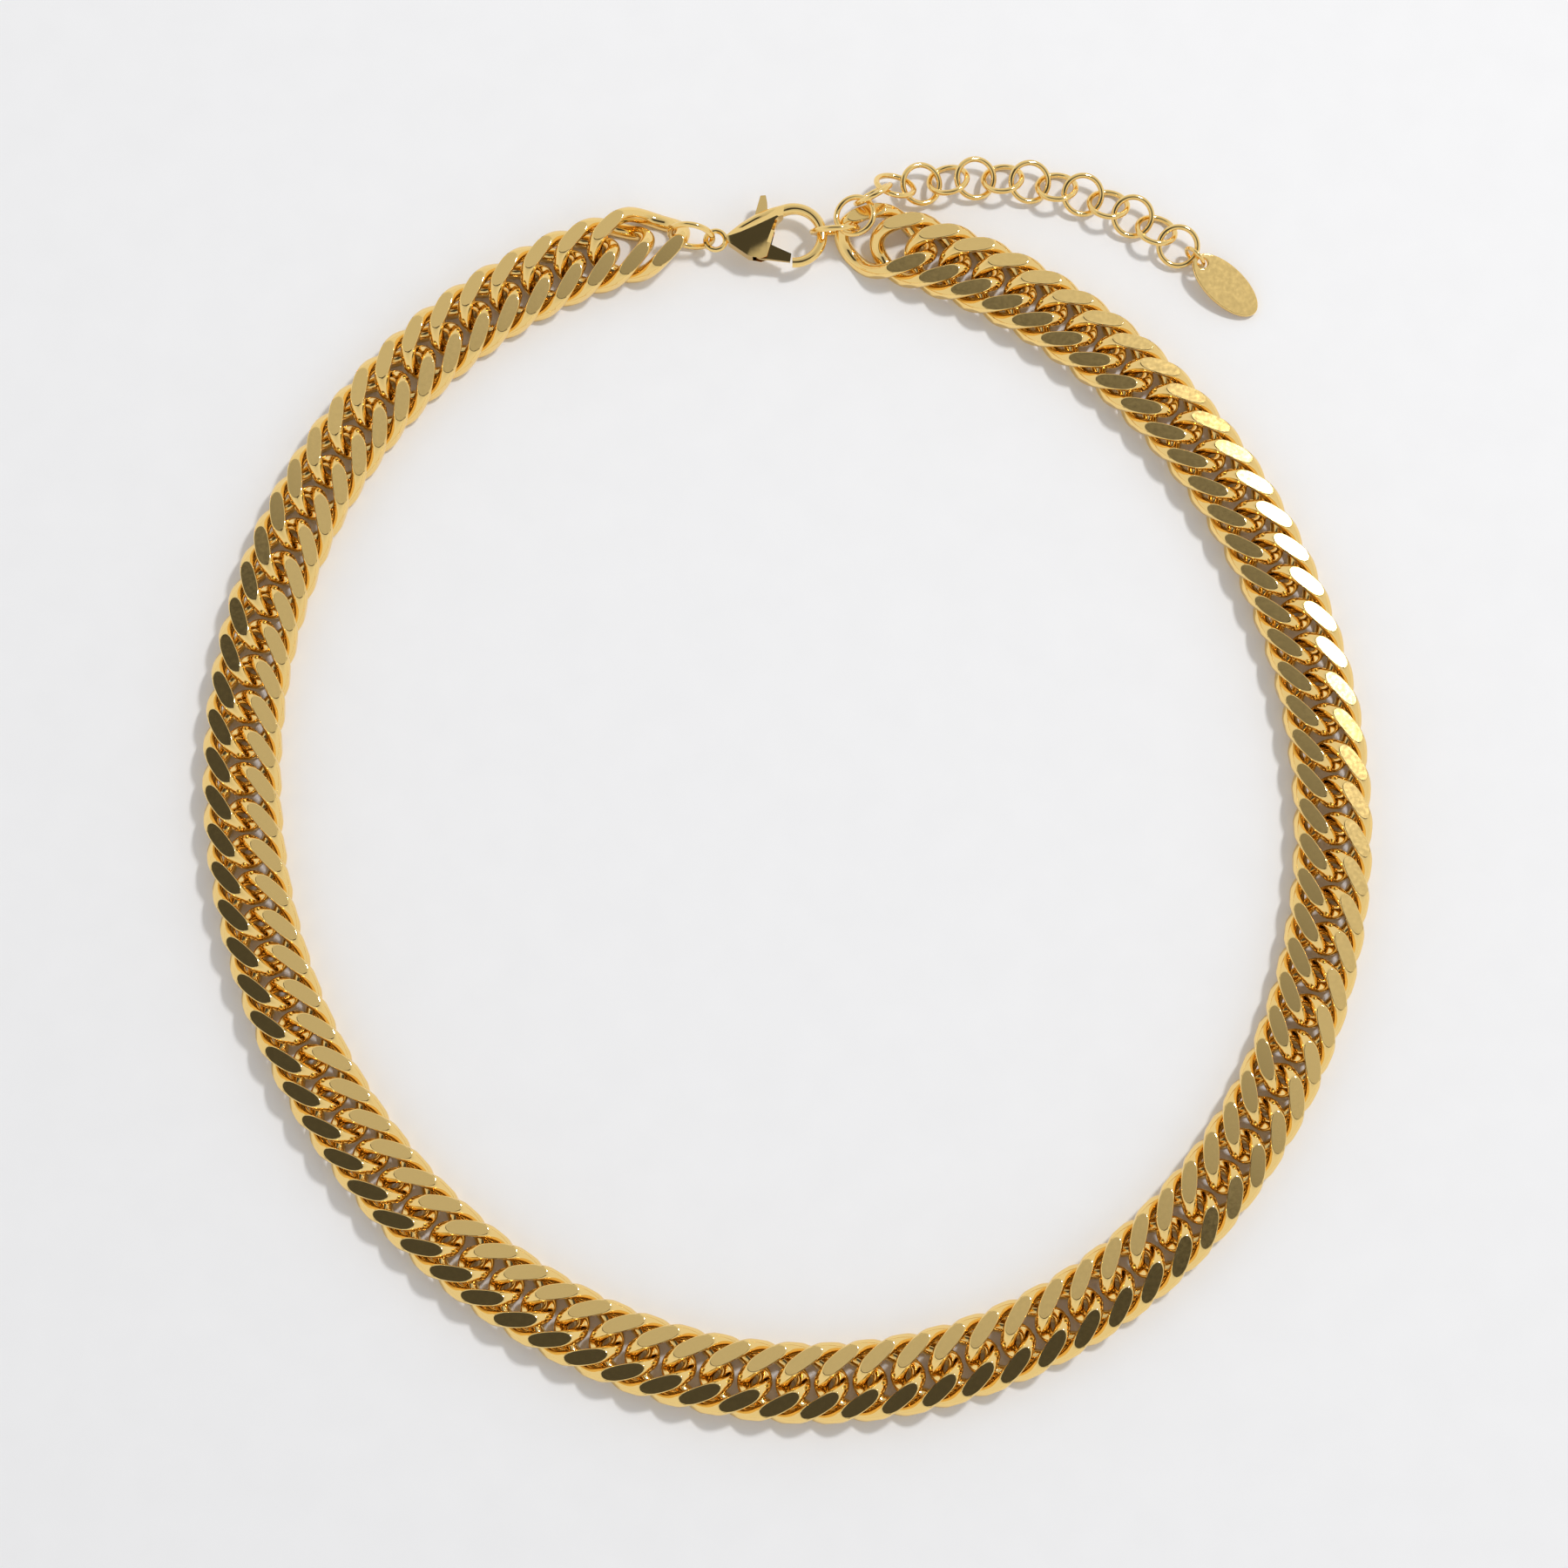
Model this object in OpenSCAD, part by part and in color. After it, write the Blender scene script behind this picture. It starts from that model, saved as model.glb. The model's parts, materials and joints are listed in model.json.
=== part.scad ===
// Double curb chain necklace: ninety twisted links round an oval loop, closed by a lobster
// clasp and two connecting rings, with a ring-chain extender and an oval tag.
// Millimetres. The loop rests on z = 0 with its centre at the origin. +Z is up.

/* [Chain] */
// Overall length of one link
link_length = 12.94; // [12.6:0.02:13.6]
// Width of one link over its wire, before the chain's two edges are flattened
link_width = 9.5; // [9.2:0.02:10.4]
// Wire diameter along the two sides of a link
side_wire = 1.88; // [1.6:0.02:1.92]
// Wire diameter at the two end bows of a link
bow_wire = 1.88; // [1.6:0.02:1.92]
// Twist of each end bow against the middle of its link, which lets the links lie flat
link_twist = 42; // [40:1:46]
// Fullness of a link's shoulders
shoulder = -0.04; // [-0.1:0.01:0.05]
// Free play between a bow and the bow of the next link but one
bow_play = 0.38; // [0.2:0.02:0.6]
// Depth of the flats that are ground off the wire above and below
flat_depth = 0.7; // [0.5:0.02:0.8]
// Outward lean of the upper flats
flat_lean = 6; // [0:1:10]
// Depth of the narrow flats along the two edges of the chain
edge_depth = 0.14; // [0.04:0.01:0.25]

/* [Loop] */
// Long axis of the loop over its short axis
loop_ratio = 1.096; // [1:0.002:1.3]
// Direction of the loop's long axis, from +X
loop_turn = -75; // [-90:1:-60]
// Share of the way round from the end of the long axis to the middle of the clasp
clasp_place = 0.4635; // [0.42:0.0005:0.5]

/* [Clasp] */
// Distance from the middle of the clasp's eye to the middle of its hook's bend
clasp_reach = 9.54; // [9.2:0.01:10.6]
// Radius of the hook's bend, to the middle of its wire
hook_radius = 3.46; // [3.3:0.01:3.9]
// Diameter of the hook's wire
hook_wire = 1.3; // [1:0.02:1.4]
// Radius of the eye, to the middle of its wire
eye_radius = 1.2; // [1.1:0.01:1.4]
// Diameter of the eye's wire
eye_wire = 0.66; // [0.5:0.02:0.7]
// Greatest thickness of the clasp's body
body_thickness = 2.8; // [2.4:0.05:3.4]
// Thickness of the lever
lever_thickness = 1.16; // [0.9:0.02:1.3]
// Running gap on each side of the lever
lever_gap = 0.08; // [0.05:0.01:0.15]
// Radius of the pin that the lever turns on
pin_radius = 0.36; // [0.25:0.01:0.4]
// Running clearance of the lever round its pin
pin_clearance = 0.04; // [0.02:0.01:0.08]
// Diameter of the return spring's wire
spring_wire = 0.18; // [0.12:0.01:0.2]
// Height of the middle of the clasp over the resting plane
clasp_lift = 2.63; // [2.5:0.01:3]

/* [Connecting rings] */
// Wire diameter of the two connecting rings
ring_wire = 0.74; // [0.6:0.02:0.8]
// Inner diameter of the ring between the clasp's eye and the chain
jump_inner = 4.5; // [4.3:0.02:5]
// Slack of that ring between the eye and the last bow
jump_slack = 0.37; // [0.3:0.01:0.6]
// Inner diameter of the ring that the hook holds
connector_inner = 4.86; // [4.6:0.02:5.4]
// Slack of that ring between the hook and the first bow
connector_slack = 0.83; // [0.6:0.01:1.1]

/* [Extender] */
// Outer diameter of an extender ring
extender_outer = 5.4; // [5.2:0.05:5.8]
// Wire diameter of an extender ring
extender_wire = 0.7; // [0.5:0.02:0.75]
// Heading of the extender where it comes to lie flat, from +X
extender_heading = 9; // [0:1:15]
// Turn of the extender at each ring
extender_turn = 5.2; // [4:0.1:6]
// Outer diameter of the small ring that holds the tag
tag_ring_outer = 3.3; // [3:0.05:3.8]
// Wire diameter of that ring
tag_ring_wire = 0.5; // [0.4:0.02:0.6]
// Length of the oval tag
tag_length = 10; // [8:0.1:12]
// Width of the oval tag
tag_width = 4.9; // [4:0.1:6]
// Thickness of the tag
tag_thickness = 0.55; // [0.4:0.05:0.7]
// Diameter of the tag's hole
tag_hole = 1.3; // [1.2:0.05:1.6]

/* [Hidden] */
// Which piece is drawn
function two_digits(n) = n < 10 ? str("0", n) : str(n);
// Every piece that is made, in the order round the loop

// ---- One link ----
half_len = (link_length - bow_wire) / 2;
half_wid = (link_width - side_wire) / 2;
// Where the cross-sections stand in each quarter of a link, closest along the flats; and the
// number of sides to each
quarter = [0, 28, 48, 70];
station_angles = concat(quarter, [for (t = [90, 70, 48, 28]) 180 - t],
    [for (t = quarter) 180 + t], [for (t = [90, 70, 48, 28]) 360 - t]);
stations = len(station_angles);
sides = 8;
function unit(v) = v / norm(v);
function flat_dir(angle) = [cos(angle), sin(angle), 0];
// The middle of the wire: an oval whose two ends are twisted opposite ways
function twist_at(t) = link_twist * sin(90 * cos(t));
function wire_wid(t) = half_wid * sin(t) * (1 + shoulder * pow(cos(t), 2));
function wire_mid(t) = [half_len * cos(t), wire_wid(t) * cos(twist_at(t)), -half_wid * sin(t) * sin(twist_at(t))];
function wire_radius(t) = (bow_wire + (side_wire - bow_wire) * abs(sin(t))) / 2;
rise = max([for (t = [0:3:90]) abs(wire_mid(t).z)]);
// Half the thickness of the chain, which is also the height of its middle
half_thick = rise + side_wire / 2 - flat_depth;
// A point of the wire's skin, cut back to the flats
function lean_at(y) = tan(flat_lean) * max(0, y - link_width / 4);
function cut_back(p) = let (y = min(abs(p.y), link_width / 2 - edge_depth) * sign(p.y))
    [p.x, y, max(-half_thick, min(half_thick - lean_at(abs(y)), p.z))];
function skin(t, a) = let (along = unit(wire_mid(t + 1) - wire_mid(t - 1)), across = unit(cross(along, [0, 0, 1])))
    wire_mid(t) + 1.03 * wire_radius(t) * (cos(a) * across + sin(a) * cross(across, along));
link_points = [for (s = [0:stations - 1]) for (j = [0:sides - 1])
    cut_back(skin(station_angles[s], (j + 0.5) * 360 / sides))];
function at_skin(s, j) = (s % stations) * sides + j % sides;
link_faces = [for (s = [0:stations - 1]) for (j = [0:sides - 1]) each [
    [at_skin(s, j), at_skin(s, j + 1), at_skin(s + 1, j + 1)],
    [at_skin(s, j), at_skin(s + 1, j + 1), at_skin(s + 1, j)]]];

// ---- The loop ----
links = 90;
pitch = half_len - bow_wire / 2 - bow_play / 2;
// How far the clasp and its rings hold the two end bows apart
jump_span = jump_inner - bow_wire / 2 - eye_wire / 2 - jump_slack + eye_radius;
connector_span = connector_inner - bow_wire / 2 - hook_wire / 2 - connector_slack;
clasp_gap = jump_span + clasp_reach + hook_radius + connector_span;
perimeter = (links - 1) * pitch + 2 * half_len + clasp_gap;
// Distance run round an oval of unit short axis, against the angle reached
function unit_oval(t) = [loop_ratio * cos(t), sin(t)];
unit_run = [for (i = 0, s = 0; i <= 360; s = s + norm(unit_oval(i + 1) - unit_oval(i)), i = i + 1) [s, i]];
loop_short = perimeter / unit_run[360][0];
// Places along the loop are given by the distance clockwise from the middle of the clasp
function loop_angle(run) = let (s = clasp_place * perimeter - run)
    lookup((s - perimeter * floor(s / perimeter)) / loop_short, unit_run);
function loop_point(run) = let (t = loop_angle(run))
    loop_short * (loop_ratio * cos(t) * flat_dir(loop_turn) + sin(t) * flat_dir(loop_turn + 90));
function loop_heading(run) = let (t = loop_angle(run)) loop_turn + atan2(-cos(t), loop_ratio * sin(t));
function link_run(i) = clasp_gap / 2 + half_len + i * pitch;
function bow_spot(i, end) = loop_point(link_run(i)) + end * half_len * flat_dir(loop_heading(link_run(i)));

// ---- The clasp, laid between the two end bows ----
first_bow = bow_spot(0, -1);
last_bow = bow_spot(links - 1, 1);
clasp_turn = atan2(first_bow.y - last_bow.y, first_bow.x - last_bow.x);
// The clasp's outline is drawn for a reach of 9.6 and grows with the reach
clasp_size = clasp_reach / 9.6;
eye_spot = [jump_span, -1.33, clasp_lift];
pivot = clasp_size * [5.4, 0.8, 0];
hook_bend = [clasp_reach, clasp_size * 0.6, 0];
body_outline = [[1.2, 0.35], [3, 2.05], [5.12, 3.5], [7.1, 4.25], [8.4, 4.5], [8.3, 3], [7.5, 2.2], [7.2, 1],
    [6.8, -0.6], [6.3, -2.3], [5.6, -2.55], [4.06, -2.3], [3, -1.6], [1.6, -0.5]];
body_half = [[1, 0.3], [2.2, 0.62], [3.4, 0.92], [4.5, 1], [6.4, 1], [7.4, 0.72], [8.6, 0.42]];
slot_outline = [[3.1, 4.6], [3.45, 2.7], [4, 1.2], [4.2, -1], [4.9, -3.6], [10, -3.6], [10, 1.15], [6.6, 1.15],
    [6.6, 6], [3.1, 6]];
lever_outline = [[5.45, 5.65], [6.2, 5.7], [6.4, 4.6], [6.42, 1.3], [6.75, -0.7], [7.6, -1.2], [9.6, -2],
    [9.6, -3.15], [6.3, -2.55], [5.6, -2.3], [4.6, -0.6], [4.4, 1.2], [4.95, 3.6]];
gate_radius = clasp_size * 5.15;
gate_gap = 0.12;
// The return spring sits in a round recess on top of the lever
spring_room = 0.75;
spring_depth = 0.55;
spring_turns = 2;
spring_radius = pin_radius + 0.1 + spring_wire / 2;
spring_low = lever_thickness / 2 - spring_depth + spring_wire / 2 + 0.02;
spring_high = lever_thickness / 2 + lever_gap - spring_wire / 2 - 0.02;

// ---- The connecting rings, from the last bow ----
jump_spot = [jump_inner / 2 - bow_wire / 2 - 0.22, -0.86, 3.02];
jump_tilt = 80.1;
jump_yaw = -8.2;
connector_spot = [clasp_gap - connector_span + connector_inner / 2 - hook_wire / 2 - 0.18, -0.17, 3.08];
connector_tilt = 104.5;
connector_yaw = 4.7;

// ---- The extender ----
extender_rings = 14;
extender_pitch = extender_outer - 2 * extender_wire - 0.65;
extender_lift = 1.56;
// Place of each of the first rings from the first bow, with its tilt and its yaw; then the ring
// from which the extender lies flat
ring_lead = [[1.52, 1.25, 4.3, -17.6, 90.9], [3.74, 4.13, 3.9, 111.7, 31], [6.47, 5.6, 3.01, -42.7, -20.7]];
flat_lead = [9.72, 6.35, extender_lift];
function ring_heading(k) = extender_heading - extender_turn * (k - 4);
function ring_spot(k) = k < 4 ? level(first_bow) + [for (c = [0:2]) ring_lead[k - 1][c]]
    : k == 4 ? level(first_bow) + flat_lead
    : ring_spot(k - 1) + extender_pitch * flat_dir(ring_heading(k - 1));
function level(p) = [p.x, p.y, 0];
// The tag's ring and the tag, from the extender's last ring
tag_ring_spot = [2.45, 0.31, 1.73];
tag_spot = [3.73, 0.1, 2.22];
tag_slope = 12;
tag_hole_in = 1.15;

// ---- Finishes ----
gold = [0.86, 0.62, 0.22];
steel = [0.72, 0.72, 0.74];

module torus(radius, wire) rotate_extrude() translate([radius, 0]) circle(d = wire);

// One link, laid along +X with its flats above and below
module link() polyhedron(points = link_points, faces = link_faces, convexity = 4);

// Two neighbouring links, which move as one body
module link_pair(k) color(gold) for (i = [2 * k - 2, 2 * k - 1])
    translate(loop_point(link_run(i)) + [0, 0, half_thick]) rotate(loop_heading(link_run(i))) link();

module at_clasp() translate(level(last_bow)) rotate(clasp_turn) children();

module clasp_shell() intersection() {
    linear_extrude(2 * body_thickness, center = true) polygon(clasp_size * body_outline);
    rotate([90, 0, 0]) linear_extrude(30, center = true) polygon(concat(
        [for (p = body_half) [clasp_size * p.x, p.y * body_thickness / 2]],
        [for (n = [len(body_half) - 1:-1:0]) [clasp_size * body_half[n].x, -body_half[n].y * body_thickness / 2]]));
}

// The hook's bend, cut off round the sweep of the gate
module hook() difference() {
    translate(hook_bend) rotate(-97) rotate_extrude(angle = 234) translate([hook_radius, 0]) circle(d = hook_wire);
    intersection() {
        translate(pivot) cylinder(r = gate_radius + gate_gap, h = 2 * hook_wire, center = true);
        translate([hook_bend.x - 2, -2.6 * clasp_size, -hook_wire]) translate([0, -3, 0]) cube([4, 4, 2 * hook_wire]);
    }
}

module clasp_body() color(gold) at_clasp() translate(eye_spot) union() {
    difference() {
        clasp_shell();
        linear_extrude(lever_thickness + 2 * lever_gap, center = true) polygon(clasp_size * slot_outline);
        translate(pivot) cylinder(r = pin_radius, h = 2 * body_thickness, center = true);
    }
    hook();
    torus(eye_radius, eye_wire);
}

module clasp_lever() color(gold) at_clasp() translate(eye_spot) difference() {
    intersection() {
        linear_extrude(lever_thickness, center = true) polygon(clasp_size * lever_outline);
        translate(pivot) cylinder(r = gate_radius, h = 2 * lever_thickness, center = true);
    }
    translate(pivot) cylinder(r = pin_radius + pin_clearance, h = 2 * lever_thickness, center = true);
    translate(pivot + [0, 0, lever_thickness / 2 - spring_depth]) cylinder(r = spring_room, h = lever_thickness);
}

module clasp_pin() color(gold) at_clasp() translate(eye_spot + pivot)
    cylinder(r = pin_radius, h = body_thickness + 0.1, center = true);

// The spring is a plain coil, swept with a six-sided section
coil_steps = 24;
coil_sides = 6;
function coil_point(s, a) = let (turn = s / coil_steps * spring_turns * 360, out = spring_radius + spring_wire / 2 * cos(a))
    [out * cos(turn), out * sin(turn),
     spring_low + (spring_high - spring_low) * s / coil_steps + spring_wire / 2 * sin(a)];
function at_coil(s, j) = s * coil_sides + j % coil_sides;
module clasp_spring() color(steel) at_clasp() translate(eye_spot + pivot) polyhedron(
    points = [for (s = [0:coil_steps]) for (j = [0:coil_sides - 1]) coil_point(s, -j * 360 / coil_sides)],
    faces = concat([for (s = [0:coil_steps - 1]) for (j = [0:coil_sides - 1]) each [
            [at_coil(s, j), at_coil(s, j + 1), at_coil(s + 1, j + 1)],
            [at_coil(s, j), at_coil(s + 1, j + 1), at_coil(s + 1, j)]]],
        [[for (j = [coil_sides - 1:-1:0]) at_coil(0, j)], [for (j = [0:coil_sides - 1]) at_coil(coil_steps, j)]]),
    convexity = 6);

module jump_ring() color(gold) at_clasp() translate(jump_spot) rotate([jump_tilt, 0, jump_yaw])
    torus((jump_inner + ring_wire) / 2, ring_wire);

module connector_ring() color(gold) at_clasp() translate(connector_spot) rotate([connector_tilt, 0, connector_yaw])
    torus((connector_inner + ring_wire) / 2, ring_wire);

// One extender ring; those that lie flat lean to one side and the other by turns
module extender_ring(k) translate(ring_spot(k)) {
    heading = ring_heading(k) + extender_turn / 2;
    if (k < 4)
        rotate([ring_lead[k - 1][3], 0, ring_lead[k - 1][4]]) extender_torus();
    else if (k % 2 == 0)
        rotate(heading) rotate([15, 0, 0]) rotate([0, 13, 0]) extender_torus();
    else
        rotate(heading) rotate([0, -9, 0]) rotate([-29.5, 0, 0]) extender_torus();
}
module extender_torus() torus((extender_outer - extender_wire) / 2, extender_wire);

// Two neighbouring extender rings, which move as one body
module extender(k) color(gold) for (n = [2 * k - 1, 2 * k]) extender_ring(n);

module at_end() translate(level(ring_spot(extender_rings))) rotate(ring_heading(extender_rings)) children();

module tag_ring() color(gold) at_end() translate(tag_ring_spot) rotate([87, 0, -1.9])
    torus((tag_ring_outer - tag_ring_wire) / 2, tag_ring_wire);

module tag() color(gold) at_end() translate(tag_spot) rotate([0, tag_slope, 1.6]) difference() {
    translate([tag_length / 2 - tag_hole_in, 0, 0]) linear_extrude(tag_thickness, center = true)
        polygon([for (t = [0:12:348]) [tag_length / 2 * cos(t), tag_width / 2 * sin(t)]]);
    cylinder(d = tag_hole, h = 2 * tag_thickness, center = true);
}

for (k = [1:45])
    link_pair(k);
clasp_body();
clasp_lever();
clasp_spring();
clasp_pin();
jump_ring();
connector_ring();
for (k = [1:7])
    extender(k);
tag_ring();
tag();
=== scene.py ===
"""Looks of a double curb chain necklace with a lobster clasp, an extender and an oval tag."""

import json
import math

import bmesh
import bpy
import numpy as np
from bpy.props import FloatProperty, FloatVectorProperty, IntProperty, PointerProperty, StringProperty
from bpy.types import Operator, Panel, PropertyGroup
from mathutils import Matrix, Vector


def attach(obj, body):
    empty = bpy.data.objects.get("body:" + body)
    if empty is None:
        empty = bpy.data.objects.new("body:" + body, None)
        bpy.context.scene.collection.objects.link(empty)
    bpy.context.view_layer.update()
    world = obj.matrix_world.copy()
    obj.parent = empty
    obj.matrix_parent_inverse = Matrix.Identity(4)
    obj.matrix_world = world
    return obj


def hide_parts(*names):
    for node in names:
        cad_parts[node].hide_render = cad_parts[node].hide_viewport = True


bl_info = {
    "name": "Curb Chain Necklace",
    "version": (1, 0, 0),
    "blender": (4, 5, 0),
    "location": "View3D > Sidebar > Necklace",
    "description": "Dresses a packed chain necklace in polished gold plate",
    "category": "Object",
}

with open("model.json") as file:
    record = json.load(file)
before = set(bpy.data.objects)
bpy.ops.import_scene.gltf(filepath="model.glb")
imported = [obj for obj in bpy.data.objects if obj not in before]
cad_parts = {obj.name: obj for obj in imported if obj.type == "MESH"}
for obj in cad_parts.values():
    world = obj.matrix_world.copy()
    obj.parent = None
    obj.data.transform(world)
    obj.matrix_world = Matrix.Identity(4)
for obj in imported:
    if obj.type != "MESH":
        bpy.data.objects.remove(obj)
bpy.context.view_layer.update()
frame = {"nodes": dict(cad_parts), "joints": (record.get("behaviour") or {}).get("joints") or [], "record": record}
JOINTS = {joint["name"]: joint for joint in frame["joints"]}
BODIES = frame["record"]["behaviour"]["bodies"]
LINK_PAIRS = sorted(n for n in frame["nodes"] if n.startswith("link_pair_"))
EXTENDER = sorted(n for n in frame["nodes"] if n.startswith("extender_"))
UP = Vector((0, 0, 1))
MM = 0.001
TINY = 1e-7


# ---- Settings ----


def length(name, description, default, **more):
    """A size in metres."""
    return FloatProperty(name=name, description=description, default=default, unit="LENGTH", precision=5, **more)


class NecklaceLinkSettings(PropertyGroup):
    """Sizes of one chain link."""

    length: length("Length", "Overall length of a link", 12.94 * MM)
    width: length("Width", "Width of a link over its wire", 9.5 * MM)
    side_wire: length("Side wire", "Wire diameter along the sides", 1.88 * MM)
    bow_wire: length("Bow wire", "Wire diameter at the two end bows", 1.88 * MM)
    shoulder: FloatProperty(name="Shoulder", description="Fullness of the shoulders", default=-0.04)
    twist: FloatProperty(
        name="Twist", description="Twist of each bow against the middle", default=math.radians(42), subtype="ANGLE"
    )
    flat_depth: length("Flat depth", "Depth of the flats above and below", 0.7 * MM)
    flat_lean: FloatProperty(
        name="Flat lean", description="Outward lean of the upper flats", default=math.radians(6), subtype="ANGLE"
    )
    edge_depth: length("Edge depth", "Depth of the narrow flats along the chain's edges", 0.14 * MM)
    rim: length("Rim", "Width of the eased rim round each flat", 0.07 * MM)
    steps: IntProperty(name="Steps", description="Sections along the wire", default=96)
    sides: IntProperty(name="Sides", description="Sides of a section", default=20)


class NecklaceClaspSettings(PropertyGroup):
    """Sizes of the clasp."""

    body_thickness: length("Body thickness", "Greatest thickness of the body", 2.8 * MM)
    rim_thickness: length("Rim thickness", "Thickness of the body at its edge", 1.5 * MM)
    facet_fall: length("Facet fall", "How much lower the facet lies along its gate side", 0.6 * MM)
    hook_radius: length("Hook radius", "Radius of the hook's bend to the middle of its wire", 3.46 * MM)
    hook_wire: length("Hook wire", "Diameter of the hook's wire", 1.3 * MM)
    eye_radius: length("Eye radius", "Radius of the eye to the middle of its wire", 1.2 * MM)
    eye_wire: length("Eye wire", "Diameter of the eye's wire", 0.66 * MM)
    lever_thickness: length("Lever thickness", "Thickness of the lever", 1.16 * MM)
    lever_slot: length("Lever slot", "Width of the slot that the lever turns in", 1.32 * MM)
    gate_taper: FloatProperty(name="Gate taper", description="Slope of the gate's two faces", default=0.17)
    pin_radius: length("Pin radius", "Radius of the lever's pin", 0.36 * MM)
    pin_length: length("Pin length", "Length of the lever's pin", 2 * MM)


class NecklaceTagSettings(PropertyGroup):
    """Sizes of the tag."""

    length: length("Length", "Length of the oval", 10 * MM)
    width: length("Width", "Width of the oval", 4.9 * MM)
    thickness: length("Thickness", "Thickness of the plate", 0.55 * MM)
    hole: length("Hole", "Diameter of the hole", 1.3 * MM)
    hole_inset: length("Hole inset", "Middle of the hole from the end", 1.15 * MM)
    ease: length("Ease", "Width of the eased edges", 0.12 * MM)


class NecklaceFinishSettings(PropertyGroup):
    """Colours and gloss."""

    gold: StringProperty(name="Gold", description="Colour of the plate, as sRGB hex", default="FBD88C")
    steel: StringProperty(name="Steel", description="Colour of the spring, as sRGB hex", default="C9CACC")
    polish: FloatProperty(name="Polish", description="Roughness of the tumbled plate", default=0.07)
    grind: FloatProperty(name="Grind", description="Roughness of the ground flats", default=0.13)
    grit: length("Grit", "Spacing of the fine marks on the flats", 0.12 * MM)


class NecklaceStageSettings(PropertyGroup):
    """Floor, light and camera."""

    floor: StringProperty(name="Floor", description="Colour of the paper floor, as sRGB hex", default="F7F7F8")
    key_power: FloatProperty(name="Key", description="Strength of the key light in watts", default=5.0)
    key_size: FloatProperty(name="Key size", description="Side of the key light", default=0.12, unit="LENGTH")
    key_place: FloatVectorProperty(
        name="Key place", description="Where the key light stands", default=(0.48, 0.4, 0.9), subtype="XYZ"
    )
    sky: FloatProperty(name="Studio", description="Strength of the studio around", default=0.7)
    view_height: FloatProperty(
        name="View height", description="Camera's angle above the floor", default=math.radians(78), subtype="ANGLE"
    )
    view_distance: length("View distance", "Camera's distance from the middle of the picture", 0.44)
    view_width: length("View width", "Width seen at that distance", 0.18648)
    aim: FloatVectorProperty(name="Aim", description="Point looked at", default=(-0.0003, 0.0007, 0.0), subtype="XYZ")


# ---- Colours and materials ----


def linear(code):
    """Linear colour, with alpha, from an sRGB hex value."""
    parts = [int(code[i : i + 2], 16) / 255 for i in (0, 2, 4)]
    return [c / 12.92 if c <= 0.04045 else ((c + 0.055) / 1.055) ** 2.4 for c in parts] + [1.0]


def add_node(tree, kind, links=(), **settings):
    """Adds a node; settings are socket values by name or node properties, links are (socket, output)."""
    made = tree.nodes.new(kind)
    for key, value in settings.items():
        if hasattr(made, key):
            setattr(made, key, value)
        else:
            made.inputs[key.replace("_", " ")].default_value = value
    for socket, output in links:
        tree.links.new(output, made.inputs[socket])
    return made


def new_material(name):
    """A material with an empty node tree, and that tree."""
    made = bpy.data.materials.new(name)
    made.use_nodes = True
    made.node_tree.nodes.clear()
    return made, made.node_tree


def speckle(tree, spacing, low, high):
    """A soft noise of that spacing in metres, spread between two values."""
    place = add_node(tree, "ShaderNodeTexCoord")
    noise = add_node(tree, "ShaderNodeTexNoise", [("Vector", place.outputs["Object"])], Scale=1 / spacing, Detail=2.0)
    spread = add_node(tree, "ShaderNodeMapRange", [("Value", noise.outputs[0])], From_Min=0.3, From_Max=0.7)
    spread.inputs["To Min"].default_value, spread.inputs["To Max"].default_value = low, high
    return spread.outputs[0]


def metal(name, colour, gloss, spacing, relief):
    """A bare metal with a slightly uneven gloss and a fine relief, both of that spacing in metres."""
    made, tree = new_material(name)
    bump = add_node(tree, "ShaderNodeBump", [("Height", speckle(tree, spacing, 0, 1))], Strength=relief)
    bump.inputs["Distance"].default_value = 0.01 * MM
    shader = add_node(
        tree,
        "ShaderNodeBsdfPrincipled",
        [("Normal", bump.outputs[0]), ("Roughness", speckle(tree, 4 * spacing, 0.8 * gloss, 1.2 * gloss))],
        Metallic=1.0,
        Base_Color=linear(colour),
    )
    add_node(tree, "ShaderNodeOutputMaterial", [("Surface", shader.outputs[0])])
    return made


def tumbled_gold_plate(finish):
    """Gold over brass, tumbled bright: a clear mirror, deeper orange where metal sees metal."""
    return metal("tumbled gold plate", finish.gold, finish.polish, 0.5 * MM, 0.04)


def ground_gold_plate(finish):
    """The same plate over flats ground on a fine wheel: a soft sheen with faint marks."""
    return metal("ground gold plate", finish.gold, finish.grind, finish.grit, 0.03)


def drawn_steel(finish):
    """Hard drawn steel wire, bright from the die: a cool grey beside the gold."""
    return metal("drawn steel", finish.steel, 0.2, 0.1 * MM, 0.05)


def paper_floor(colour):
    """Matt white background paper, calendered: a faint cloudiness and no gloss that shows."""
    made, tree = new_material("background paper")
    tone = add_node(tree, "ShaderNodeMix", [("Factor", speckle(tree, 6 * MM, 0, 1))], data_type="RGBA")
    # Sockets 6 and 7 are the two colours, and output 2 is their mix
    tone.inputs[6].default_value = linear(colour)
    tone.inputs[7].default_value = [0.985 * part for part in linear(colour)[:3]] + [1.0]
    shader = add_node(tree, "ShaderNodeBsdfPrincipled", [("Base Color", tone.outputs[2])], Roughness=0.9)
    shader.inputs["Specular IOR Level"].default_value = 0.1
    add_node(tree, "ShaderNodeOutputMaterial", [("Surface", shader.outputs[0])])
    return made


def finish_of(kind):
    """The one material of that kind, made when it is first asked for."""
    maker = {"tumbled": tumbled_gold_plate, "ground": ground_gold_plate, "steel": drawn_steel}[kind]
    return bpy.data.materials.get(maker.__name__.replace("_", " ")) or maker(bpy.context.scene.necklace_finish)


# ---- Where the CAD pieces lie ----


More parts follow.
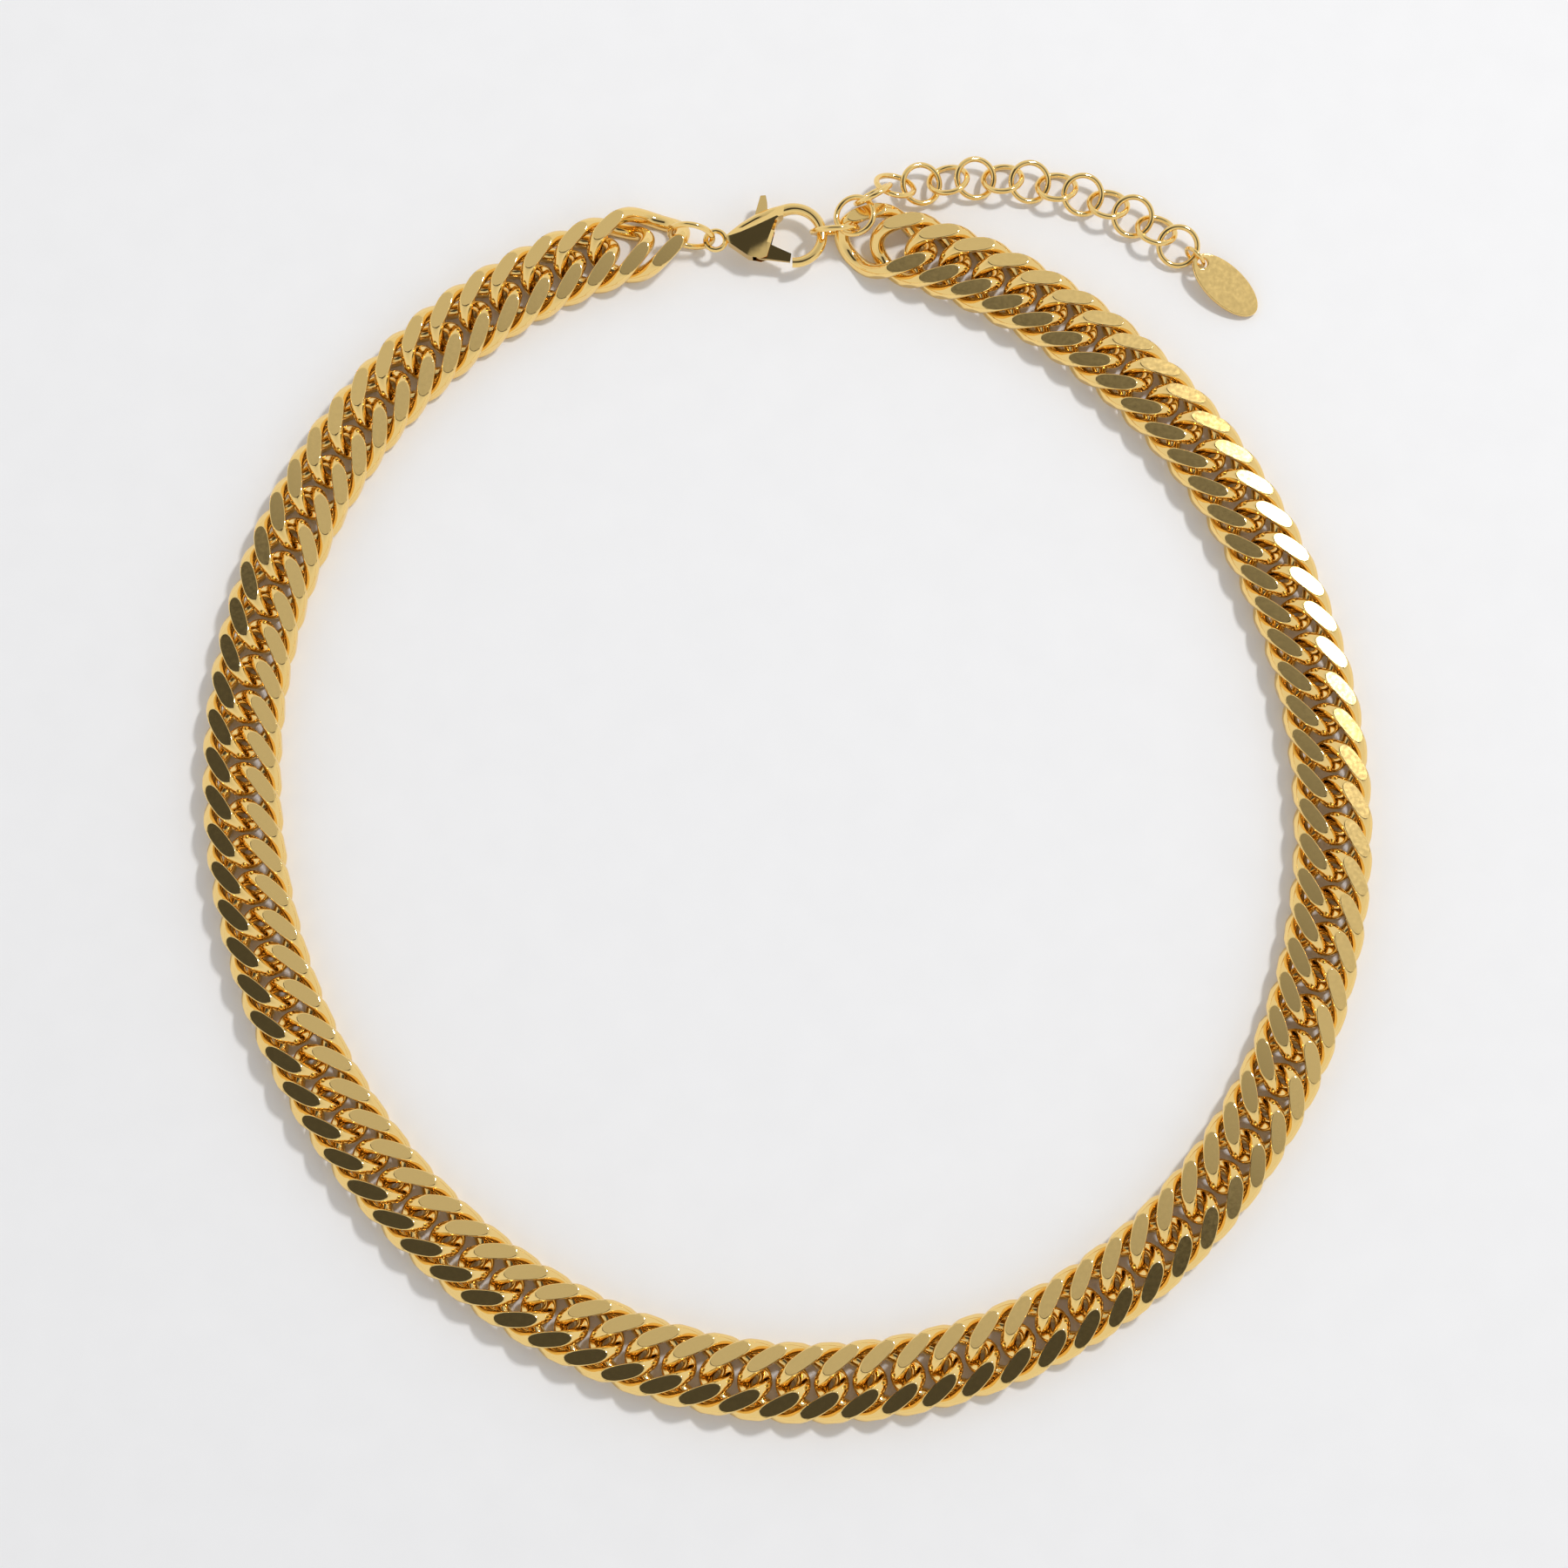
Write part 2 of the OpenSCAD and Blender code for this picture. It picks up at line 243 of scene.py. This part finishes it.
class Lie:
    """Middle, axes and reach of one solid of a CAD node. The axes run from its longest to its shortest."""

    def __init__(self, corners):
        """corners is an array of triangles, each three points, of one closed solid."""
        a, b, c = corners[:, 0], corners[:, 1], corners[:, 2]
        weight = np.einsum("ij,ij->i", a, np.cross(b, c))
        total = weight.sum()
        middle = (weight[:, None] * (a + b + c)).sum(0) / (4 * total)
        a, b, c = a - middle, b - middle, c - middle
        weight = np.einsum("ij,ij->i", a, np.cross(b, c))
        s = a + b + c
        spread = sum(np.einsum("i,ij,ik->jk", weight, p, p) for p in (a, b, c, s)) / (20 * total)
        values, axes = np.linalg.eigh(spread)
        self.middle = Vector(middle)
        self.long, self.short = Vector(axes[:, 2]), Vector(axes[:, 0])
        self.turn = 0.5 * math.atan2(2 * spread[0][1], spread[0][0] - spread[1][1])
        points = corners.reshape(-1, 3) - middle
        self.reach = float(np.linalg.norm(points, axis=1).max())
        self.half_thick = float(np.abs(points @ axes[:, 0]).max())
        self.low, self.high = float(points[:, 2].min()), float(points[:, 2].max())


def solids_of(mesh_piece):
    """The closed solids of a bmesh, each as an array of triangles."""
    faces_left, groups = set(mesh_piece.faces), []
    while faces_left:
        todo, group = [faces_left.pop()], []
        while todo:
            face = todo.pop()
            group.append(face)
            for edge in face.edges:
                for other in edge.link_faces:
                    if other in faces_left:
                        faces_left.remove(other)
                        todo.append(other)
        groups.append(np.array([[v.co[:] for v in face.verts] for face in group], float))
    return groups


def lies_of(node):
    """How each solid of a CAD node lies."""
    copy = bmesh.new()
    copy.from_mesh(frame["nodes"][node].data)
    bmesh.ops.remove_doubles(copy, verts=copy.verts, dist=TINY)
    bmesh.ops.triangulate(copy, faces=copy.faces)
    found = [Lie(corners) for corners in solids_of(copy)]
    copy.free()
    return found


def body_with(node):
    """The CAD body that a node belongs to."""
    return next(body for body, nodes in BODIES.items() if node in nodes)


# ---- Finishing a piece ----


def finish_piece(mesh_piece, name, node, finishes=("tumbled",), smooth=35):
    """Turns a bmesh into an object that stands for a CAD node. Faces of the second finish stay flat-shaded."""
    mesh = bpy.data.meshes.new(name)
    mesh_piece.to_mesh(mesh)
    mesh_piece.free()
    for kind in finishes:
        mesh.materials.append(finish_of(kind))
    if smooth:
        mesh.shade_smooth()
        mesh.set_sharp_from_angle(angle=math.radians(smooth))
        for face in mesh.polygons:
            face.use_smooth = face.material_index == 0
    made = bpy.data.objects.new(name, mesh)
    bpy.context.scene.collection.objects.link(made)
    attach(made, body_with(node))
    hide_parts(node)
    return made


def keep_cad(node, kind):
    """Shows a CAD node as it is, in one finish."""
    made = frame["nodes"][node]
    made.data.materials.clear()
    made.data.materials.append(finish_of(kind))


def torus(radius, wire, steps=72, sides=16):
    """A bmesh ring round +Z; radius is to the middle of the wire."""
    made = bmesh.new()
    turned = Matrix.Translation((radius, 0, 0)) @ Matrix.Rotation(math.pi / 2, 4, "X")
    bmesh.ops.create_circle(made, segments=sides, radius=wire, matrix=turned)
    bmesh.ops.spin(
        made,
        geom=made.verts[:] + made.edges[:],
        cent=(0, 0, 0),
        axis=UP,
        angle=2 * math.pi,
        steps=steps,
        use_merge=True,
    )
    bmesh.ops.recalc_face_normals(made, faces=made.faces)
    return made


def join(target, piece, placing=None):
    """Adds one bmesh to another and frees it."""
    if placing is not None:
        bmesh.ops.transform(piece, matrix=placing, verts=piece.verts)
    mesh = bpy.data.meshes.new("part")
    piece.to_mesh(mesh)
    piece.free()
    target.from_mesh(mesh)
    bpy.data.meshes.remove(mesh)


# ---- The chain ----


def wire_middle(t, link):
    """The middle of a link's wire: an oval whose two ends are twisted opposite ways."""
    half_length, half_width = (link.length - link.bow_wire) / 2, (link.width - link.side_wire) / 2
    twist = link.twist * math.sin(math.pi / 2 * math.cos(t))
    reach = half_width * math.sin(t)
    across = reach * (1 + link.shoulder * math.cos(t) ** 2) * math.cos(twist)
    return Vector((half_length * math.cos(t), across, -reach * math.sin(twist)))


def bend_wire(point, wire_radius, link):
    """Moves a point of a plain ring of radius 1 to its place on the twisted oval of a link."""
    around, near = math.atan2(point.y, point.x), 0.01
    out, up = math.hypot(point.x, point.y) - 1, point.z
    along = (wire_middle(around + near, link) - wire_middle(around - near, link)).normalized()
    aside = along.cross(UP).normalized()
    wire = (link.bow_wire + (link.side_wire - link.bow_wire) * abs(math.sin(around))) / 2
    return wire_middle(around, link) + (out * aside + up * aside.cross(along)) * wire / wire_radius


def half_thickness(link):
    """Half the thickness of the chain over its flats."""
    rise = max(abs(wire_middle(math.radians(t), link).z) for t in range(91))
    return rise + link.side_wire / 2 - link.flat_depth


def grind_flat(piece, point, outward, side=0):
    """Cuts a bmesh at a plane and closes it with a flat of the second finish. A side of 1 or -1 cuts only there."""
    faces = [f for f in piece.faces if side * f.calc_center_median().y >= 0]
    geometry = set(faces)
    for face in faces:
        geometry.update(face.edges)
        geometry.update(face.verts)
    bmesh.ops.bisect_plane(piece, geom=list(geometry), dist=TINY, plane_co=point, plane_no=outward, clear_outer=True)
    rim = [e for e in piece.edges if e.is_boundary]
    made = bmesh.ops.holes_fill(piece, edges=rim, sides=0)
    for face in made["faces"]:
        face.material_index = 1


def ease(piece, edges, width, segments):
    """Rounds edges; the new faces take the first finish."""
    eased = bmesh.ops.bevel(
        piece, geom=edges, offset=width, affect="EDGES", segments=segments, profile=0.5, material=-1
    )
    for face in eased["faces"]:
        face.material_index = 0


def make_link(link):
    """One link, lying along +X with its middle at the origin."""
    wire_radius = 0.2
    made = torus(1.0, wire_radius, link.steps, link.sides)
    for vert in made.verts:
        vert.co = bend_wire(vert.co, wire_radius, link)
    bmesh.ops.recalc_face_normals(made, faces=made.faces)
    lean, half_thick = link.flat_lean, half_thickness(link)
    for side in (1, -1):
        edge = side * (link.width / 2 - link.edge_depth)
        grind_flat(made, (0, edge, 0), (0, side, 0), side)
        outward = (0, side * math.sin(lean), math.cos(lean))
        grind_flat(made, (0, side * link.width / 4, half_thick), outward, side)
    grind_flat(made, (0, 0, -half_thick), (0, 0, -1))
    rims = [e for e in made.edges if len({f.material_index for f in e.link_faces}) == 2]
    ease(made, rims, link.rim, 2)
    return made


def lie_of_mesh(piece):
    """How a finished bmesh lies."""
    copy = piece.copy()
    bmesh.ops.triangulate(copy, faces=copy.faces)
    found = Lie(solids_of(copy)[0])
    copy.free()
    return found


class NECKLACE_OT_links(Operator):
    """Makes the chain's links, two to a piece."""

    bl_idname = "necklace.links"
    bl_label = "Chain links"

    def execute(self, context):
        link = context.scene.necklace_link
        first = make_link(link)
        own = lie_of_mesh(first)
        for node in LINK_PAIRS:
            piece = bmesh.new()
            for place in lies_of(node):
                height = place.middle.z + place.low + half_thickness(link)
                placing = (
                    Matrix.Translation((place.middle.x, place.middle.y, height))
                    @ Matrix.Rotation(place.turn - own.turn, 4, "Z")
                    @ Matrix.Translation((-own.middle.x, -own.middle.y, 0))
                )
                join(piece, first.copy(), placing)
            finish_piece(piece, node.replace("link_pair", "links"), node, ("tumbled", "ground"), 28)
        first.free()
        return {"FINISHED"}


# ---- Rings ----


def ring_like(lie):
    """A ring with the size and place of a CAD ring."""
    made = torus(lie.reach - lie.half_thick, lie.half_thick)
    turn = lie.short.to_track_quat("Z", "Y").to_matrix().to_4x4()
    bmesh.ops.transform(made, matrix=Matrix.Translation(lie.middle) @ turn, verts=made.verts)
    return made


class NECKLACE_OT_rings(Operator):
    """Makes the connecting rings, the extender's rings and the tag's ring."""

    bl_idname = "necklace.rings"
    bl_label = "Rings"

    def execute(self, context):
        for node in ["jump_ring", "connector_ring", "tag_ring"] + EXTENDER:
            piece = bmesh.new()
            for lie in lies_of(node):
                join(piece, ring_like(lie))
            finish_piece(piece, node.replace("extender", "extender_rings"), node, smooth=60)
        return {"FINISHED"}


# ---- The tag ----


class NECKLACE_OT_tag(Operator):
    """Makes the oval tag, with eased edges and a bare face."""

    bl_idname = "necklace.tag"
    bl_label = "Tag"

    def execute(self, context):
        tag = context.scene.necklace_tag
        lie, ring = lies_of("tag")[0], lies_of("tag_ring")[0]
        made = bmesh.new()
        around = 64
        rim = bmesh.ops.create_circle(made, segments=around, radius=1)["verts"]
        bmesh.ops.scale(made, vec=(tag.length / 2, tag.width / 2, 1), verts=rim)
        hole = bmesh.ops.create_circle(made, segments=around, radius=tag.hole / 2)["verts"]
        bmesh.ops.translate(made, vec=(tag.hole_inset - tag.length / 2, 0, 0), verts=hole)
        bmesh.ops.bridge_loops(made, edges=made.edges[:])
        bmesh.ops.translate(made, vec=(0, 0, -tag.thickness / 2), verts=made.verts)
        plate = bmesh.ops.extrude_face_region(made, geom=made.faces[:])["geom"]
        top = [g for g in plate if isinstance(g, bmesh.types.BMVert)]
        bmesh.ops.translate(made, vec=(0, 0, tag.thickness), verts=top)
        bmesh.ops.recalc_face_normals(made, faces=made.faces)
        for face in made.faces:
            face.material_index = 1 if abs(face.normal.z) > 0.9 else 0
        sharp = [e for e in made.edges if e.calc_face_angle(0) > 1]
        ease(made, sharp, tag.ease, 3)
        along = lie.long if lie.long.dot(lie.middle - ring.middle) > 0 else -lie.long
        up = lie.short if lie.short.z > 0 else -lie.short
        turn = Matrix((along, up.cross(along), up)).transposed().to_4x4()
        # The hole lightens one end, so the oval's own middle lies back towards it
        inner, outer = math.pi * (tag.hole / 2) ** 2, math.pi * tag.length * tag.width / 4
        shift = (tag.length / 2 - tag.hole_inset) * inner / (outer - inner)
        placing = Matrix.Translation(lie.middle - shift * along) @ turn
        bmesh.ops.transform(made, matrix=placing, verts=made.verts)
        finish_piece(made, "tag_plate", "tag", ("tumbled", "ground"), 35)
        return {"FINISHED"}


# ---- The clasp ----


# The clasp lies along +X with its eye's middle at the origin, drawn in its own scale, where it is 9.6 from
# the eye to the middle of the hook's bend. These are the lever's pivot and the bend's middle
PIVOT = Vector((5.4, 0.8))
BEND = Vector((9.6, 0.6))
# Outlines: the body's edge, the flat facet inside it corner by corner, the lever, and the lever's slot
BODY_EDGE = (
    (1.2, 0.3), (3, 1.75), (5.12, 3.1), (7.1, 3.9), (8.4, 4.1), (8.3, 3), (7.6, 2.3), (7.2, 1),
    (6.8, -0.6), (6.3, -2.3), (5.6, -2.55), (4.06, -2.25), (3, -1.5), (1.6, -0.5),
)
FACET = (
    (1.8, 0.28), (3.1, 0.72), (4.9, 1.5), (6.3, 2.15), (7.5, 2.72), (7.75, 2.62), (7.35, 2.25), (6.85, 1),
    (6.3, -0.5), (5.8, -1.2), (5.3, -1.32), (4.3, -0.95), (3.4, -0.66), (2.3, -0.42),
)
LEVER_EDGE = (
    (5.5, 5.6), (6.15, 5.65), (6.35, 4.6), (6.42, 1.3), (6.75, -0.7), (7.6, -1.1), (9.3, -1.85), (9.15, -2.85),
    (6.4, -2.5), (5.6, -2.45), (5.05, -2.25), (4.55, -0.6), (4.4, 1.2), (4.95, 3.6),
)
SLOT_EDGE = (
    (3.1, 6), (3.1, 4.6), (3.45, 2.7), (4, 1.2), (4.2, -1), (4.9, -3.6), (9.42, -3.6), (9.42, 1.15), (6.6, 1.15),
    (6.6, 6),
)
# The spine of the upper flank, from the eye to where the hook's round bend begins, with its half
# width and its half height
SPINE = (
    (1.3, 0.3, 0.3, 0.3), (2.2, 0.85, 0.46, 0.7), (3.4, 1.6, 0.62, 1.05), (4.9, 2.45, 0.72, 1.2),
    (6.5, 3.25, 0.76, 1),
)
# The facet slopes down from its top to its foot, and the gate narrows below this height
FACET_TOP, FACET_DROP = 2.7, 4
GATE_TOP = -0.6
# The hook's bend starts over the cheeks and ends at the gate, in this many steps
HOOK_FROM, HOOK_TO, HOOK_STEPS = math.radians(112), math.radians(-96), 28


def clasp_frame():
    """How much larger the clasp is than its outlines, and a matrix from its own axes."""
    eye = Vector(JOINTS["clasp_swing"]["pos_m"])
    pivot = Vector(JOINTS["lever_open"]["pos_m"])
    reach = (pivot - eye).xy
    heading = math.atan2(reach.y, reach.x) - math.atan2(PIVOT.y, PIVOT.x)
    size = reach.length / PIVOT.length
    return size, Matrix.Translation((eye.x, eye.y, pivot.z)) @ Matrix.Rotation(heading, 4, "Z")


def plate(edge, size, thickness):
    """A flat plate of that outline, standing half on each side of z = 0."""
    made = bmesh.new()
    verts = [made.verts.new((size * x, size * y, -thickness / 2)) for x, y in edge]
    face = made.faces.new(verts)
    raised = bmesh.ops.extrude_face_region(made, geom=[face])["geom"]
    bmesh.ops.translate(made, vec=(0, 0, thickness), verts=[g for g in raised if isinstance(g, bmesh.types.BMVert)])
    bmesh.ops.recalc_face_normals(made, faces=made.faces)
    return made


def as_object(piece, name):
    """A loose object from a bmesh."""
    mesh = bpy.data.meshes.new(name)
    piece.to_mesh(mesh)
    piece.free()
    made = bpy.data.objects.new(name, mesh)
    bpy.context.scene.collection.objects.link(made)
    return made


def combine(first, second, how):
    """Joins or cuts one object with another, which is used up."""
    change = first.modifiers.new("combine", "BOOLEAN")
    change.object, change.operation, change.solver = second, how, "EXACT"
    with bpy.context.temp_override(object=first, active_object=first):
        bpy.ops.object.modifier_apply(modifier=change.name)
    bpy.data.objects.remove(second)


class NECKLACE_OT_clasp(Operator):
    """Makes the clasp's body with its eye and hook, the lever and its pin."""

    bl_idname = "necklace.clasp"
    bl_label = "Clasp"

    def execute(self, context):
        clasp = context.scene.necklace_clasp
        size, placing = clasp_frame()
        shell = plate(BODY_EDGE, size, clasp.rim_thickness)
        rise = (clasp.body_thickness - clasp.rim_thickness) / 2
        for side in (1, -1):
            cheek = next(f for f in shell.faces if f.normal.z * side > 0.9)
            corners = [v.co.xy / size for v in cheek.verts]
            bmesh.ops.inset_region(shell, faces=[cheek], thickness=0.1 * MM, depth=0, use_even_offset=True)
            for vert, corner in zip(cheek.verts, corners):
                nearest = min(range(len(FACET)), key=lambda n: (Vector(BODY_EDGE[n]) - corner).length)
                x, y = FACET[nearest]
                fall = clasp.facet_fall * (FACET_TOP - y) / FACET_DROP
                vert.co = (size * x, size * y, vert.co.z + side * (rise - fall))
        bmesh.ops.recalc_face_normals(shell, faces=shell.faces)
        made = bmesh.new()
        for part in (shell, self.hook(clasp, size)):
            cut = as_object(part, "clasp_part")
            combine(cut, as_object(plate(SLOT_EDGE, size, clasp.lever_slot), "slot"), "DIFFERENCE")
            made.from_mesh(cut.data)
            bpy.data.objects.remove(cut)
        join(made, torus(clasp.eye_radius, clasp.eye_wire / 2, 48, 14))
        bmesh.ops.transform(made, matrix=placing, verts=made.verts)
        finish_piece(made, "clasp_shell", "clasp_body", smooth=20)
        # The lever
        lever = plate(LEVER_EDGE, size, clasp.lever_thickness)
        everything = lever.verts[:] + lever.edges[:] + lever.faces[:]
        gate_top = GATE_TOP * size
        bmesh.ops.bisect_plane(lever, geom=everything, plane_co=(0, gate_top, 0), plane_no=(0, 1, 0))
        for vert in lever.verts:
            vert.co.z -= math.copysign(clasp.gate_taper * max(0, gate_top - vert.co.y), vert.co.z)
        bmesh.ops.transform(lever, matrix=placing, verts=lever.verts)
        finish_piece(lever, "lever", "clasp_lever", smooth=30)
        # The pin, whose ends lie below the facets
        pin = bmesh.new()
        wide, long = clasp.pin_radius, clasp.pin_length
        bmesh.ops.create_cone(pin, cap_ends=True, segments=32, radius1=wide, radius2=wide, depth=long)
        pivot = Matrix.Translation(PIVOT.to_3d() * size)
        bmesh.ops.transform(pin, matrix=placing @ pivot, verts=pin.verts)
        finish_piece(pin, "pin", "clasp_pin", smooth=30)
        keep_cad("clasp_spring", "steel")
        return {"FINISHED"}

    def hook(self, clasp, size):
        """The upper flank and the hook in one sweep, thickest at the top and thinner towards the gate."""
        stops = [(Vector((x, y)) * size, half * size, tall * size) for x, y, half, tall in SPINE]
        for n in range(HOOK_STEPS + 1):
            way = n / HOOK_STEPS
            around = HOOK_FROM + (HOOK_TO - HOOK_FROM) * way
            half = clasp.hook_wire / 2 * (1.12 - 0.32 * way + 0.16 * way**2)
            arm = Vector((math.cos(around), math.sin(around))) * clasp.hook_radius
            stops.append((BEND * size + arm, half, half))
        made = bmesh.new()
        steps = len(stops) - 1
        # A flat grid is rolled up: its X runs along the sweep, and its Y goes round it
        bmesh.ops.create_grid(made, x_segments=steps, y_segments=20, size=1)
        for vert in made.verts:
            step = round((vert.co.x + 1) / 2 * steps)
            turn = (vert.co.y + 1) * math.pi
            spot, half, tall = stops[step]
            ahead, behind = stops[min(step + 1, steps)][0], stops[max(step - 1, 0)][0]
            along = (ahead - behind).normalized()
            aside = Vector((-along.y, along.x)) * half * math.cos(turn)
            vert.co = (spot.x + aside.x, spot.y + aside.y, tall * math.sin(turn))
        bmesh.ops.remove_doubles(made, verts=made.verts, dist=TINY)
        bmesh.ops.holes_fill(made, edges=[e for e in made.edges if e.is_boundary], sides=0)
        bmesh.ops.recalc_face_normals(made, faces=made.faces)
        return made


# ---- The stage ----


class NECKLACE_OT_stage(Operator):
    """Makes the floor, the studio light and the camera."""

    bl_idname = "necklace.stage"
    bl_label = "Stage"

    def execute(self, context):
        stage = context.scene.necklace_stage
        made = bmesh.new()
        bmesh.ops.create_grid(made, x_segments=1, y_segments=1, size=3)
        floor = as_object(made, "floor")
        floor.data.materials.append(paper_floor(stage.floor))
        self.surround(context, stage)
        self.lamp("key", stage.key_power, stage.key_place, stage.key_size)
        aim = Vector(stage.aim)
        away = Vector((0, -math.cos(stage.view_height), math.sin(stage.view_height)))
        camera = bpy.data.objects.new("camera", bpy.data.cameras.new("camera"))
        camera.data.angle = 2 * math.atan(stage.view_width / 2 / stage.view_distance)
        camera.data.clip_start = 0.01
        camera.location = aim + stage.view_distance * away
        camera.rotation_euler = (-away).to_track_quat("-Z", "Y").to_euler()
        context.scene.collection.objects.link(camera)
        context.scene.camera = camera
        context.scene.view_settings.view_transform = "Standard"
        return {"FINISHED"}

    def lamp(self, name, power, place, size):
        """A square soft light, aimed at the necklace."""
        data = bpy.data.lights.new(name, "AREA")
        data.energy, data.size = power, size
        lamp = bpy.data.objects.new(name, data)
        lamp.location = place
        lamp.rotation_euler = (-Vector(place)).to_track_quat("-Z", "Y").to_euler()
        bpy.context.scene.collection.objects.link(lamp)

    def surround(self, context, stage):
        """White walls, and a dark bar overhead, which is what gives polished metal its darks."""
        world = bpy.data.worlds.new("studio")
        world.use_nodes = True
        tree = world.node_tree
        tree.nodes.clear()
        way = add_node(tree, "ShaderNodeTexCoord").outputs["Generated"]

        def toward(direction):
            dot = add_node(tree, "ShaderNodeVectorMath", [(0, way)], operation="DOT_PRODUCT")
            dot.inputs[1].default_value = Vector(direction).normalized()
            return dot.outputs["Value"]

        def fade(value, stops):
            ramp = add_node(tree, "ShaderNodeMapRange", [("Value", value)])
            for name, number in zip(("From Min", "From Max", "To Min", "To Max"), stops):
                ramp.inputs[name].default_value = number
            return ramp.outputs[0]

        # The bar runs from the north-west to the south-east, and ends a third of the way down
        side = add_node(tree, "ShaderNodeMath", [(0, toward((0.53, 0.84, 0.11)))], operation="ABSOLUTE")
        height = toward((0, 0, 1))
        bar = add_node(
            tree,
            "ShaderNodeMath",
            [(0, fade(side.outputs[0], (0.21, 0.28, 0.12, 1))), (1, fade(height, (0.86, 0.78, 0, 1)))],
            operation="MAXIMUM",
        )
        walls = fade(height, (0.95, 0.45, 0.78, 1.15))
        light = add_node(tree, "ShaderNodeMath", [(0, bar.outputs[0]), (1, walls)], operation="MULTIPLY")
        sky = add_node(tree, "ShaderNodeBackground", [("Color", light.outputs[0])], Strength=stage.sky)
        add_node(tree, "ShaderNodeOutputWorld", [("Surface", sky.outputs[0])])
        context.scene.world = world


# ---- Panel and registration ----

STEPS = (NECKLACE_OT_links, NECKLACE_OT_rings, NECKLACE_OT_tag, NECKLACE_OT_clasp, NECKLACE_OT_stage)
GROUPS = {
    "necklace_link": NecklaceLinkSettings,
    "necklace_clasp": NecklaceClaspSettings,
    "necklace_tag": NecklaceTagSettings,
    "necklace_finish": NecklaceFinishSettings,
    "necklace_stage": NecklaceStageSettings,
}


class NECKLACE_PT_panel(Panel):
    """Lists the necklace's settings and its steps."""

    bl_label = "Necklace"
    bl_idname = "NECKLACE_PT_panel"
    bl_space_type = "VIEW_3D"
    bl_region_type = "UI"
    bl_category = "Necklace"

    def draw(self, context):
        for group, kind in GROUPS.items():
            box = self.layout.box()
            for name in kind.__annotations__:
                box.prop(getattr(context.scene, group), name)
        for step in STEPS:
            self.layout.operator(step.bl_idname)


def register():
    for cls in (*GROUPS.values(), *STEPS, NECKLACE_PT_panel):
        bpy.utils.register_class(cls)
    for name, kind in GROUPS.items():
        setattr(bpy.types.Scene, name, PointerProperty(type=kind))


def unregister():
    for name in GROUPS:
        delattr(bpy.types.Scene, name)
    for cls in reversed((*GROUPS.values(), *STEPS, NECKLACE_PT_panel)):
        bpy.utils.unregister_class(cls)


def main():
    register()
    bpy.ops.necklace.links()
    bpy.ops.necklace.rings()
    bpy.ops.necklace.tag()
    bpy.ops.necklace.clasp()
    bpy.ops.necklace.stage()


if __name__ == "__main__":
    main()
